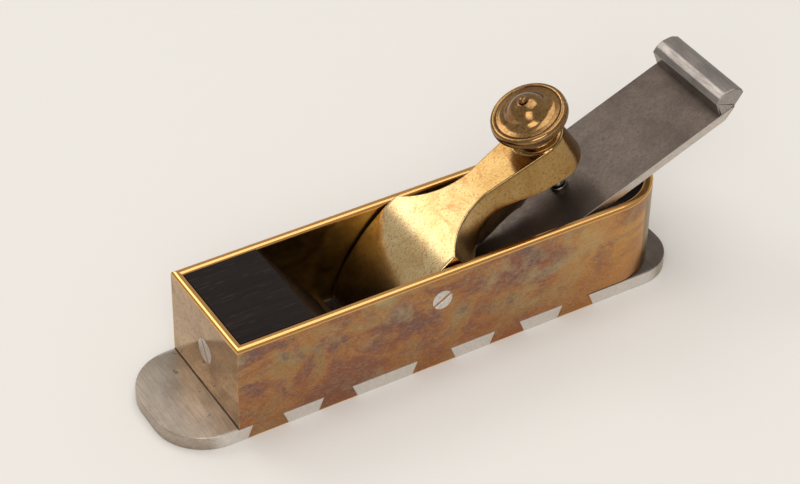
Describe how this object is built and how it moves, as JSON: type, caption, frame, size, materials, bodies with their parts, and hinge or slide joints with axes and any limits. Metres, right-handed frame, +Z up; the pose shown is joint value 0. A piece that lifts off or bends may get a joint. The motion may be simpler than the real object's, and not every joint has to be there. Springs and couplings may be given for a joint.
{
  "type": "mitre plane",
  "caption": "Small infill mitre plane: dovetailed steel sole, brass box body, ebony infills, low-angle bevel-up iron and a pivoting brass lever cap with a knurled thumbscrew.",
  "frame": {"origin": "middle of the sole's face", "axes": "+X from toe to heel, +Y to the plane's right seen from above with the toe ahead, +Z up from the sole"},
  "size_m": [0.2452, 0.0516, 0.0887],
  "materials": {
    "sole_steel": "filed and brushed, slightly pitted",
    "side_brass": "tarnished, fine lengthwise grain",
    "plate_brass": "smooth, lightly tarnished",
    "ebony": "waxed",
    "iron_steel": "darkened, finely brushed",
    "sneck_steel": "satin",
    "cap_brass": "polished, handled",
    "screw_steel": "bright",
    "knob_brass": "polished, darkened",
    "dark_steel": "oil-darkened"
  },
  "bodies": {
    "plane_body": {"sole_front": "sole_steel", "sole_rear": "sole_steel", "side_strip": "side_brass", "front_plate": "plate_brass", "front_infill": "ebony", "rear_infill": "ebony", "pivot_screw_left": "screw_steel", "pivot_screw_right": "screw_steel", "front_screw": "screw_steel", "heel_screw": "screw_steel"},
    "iron_set": {"iron": "iron_steel", "sneck": "sneck_steel"},
    "cap": {"lever_cap": "cap_brass"},
    "foot": {"screw_foot": "dark_steel"},
    "thumbscrew": {"thumbscrew_stem": "dark_steel", "thumbscrew_knob": "knob_brass", "finial_button": "knob_brass"}
  },
  "joints": [
    {"name": "iron_feed", "type": "slide", "parent": "plane_body", "child": "iron_set", "axis": [0.9239, 0, 0.3827], "range_m": [-0.0003, 0.012]},
    {"name": "cap_tilt", "type": "hinge", "parent": "plane_body", "child": "cap", "pos_m": [-0.0012, 0, 0.03108], "axis": [0, 1, 0], "range_deg": [0, 4]},
    {"name": "screw_feed", "type": "slide", "parent": "cap", "child": "foot", "axis": [-0.3827, 0, 0.9239], "range_m": [0, 0.0055]},
    {"name": "screw_turn", "type": "hinge", "parent": "foot", "child": "thumbscrew", "pos_m": [0.06643, 0, 0.04156], "axis": [-0.3827, 0, 0.9239], "range_deg": [0, 1980]}
  ],
  "couplings": [
    {"joint": "screw_turn", "follows": "screw_feed", "rad_per_m": 6283},
    {"joint": "cap_tilt", "follows": "screw_feed", "rad_per_m": 12.69}
  ]
}
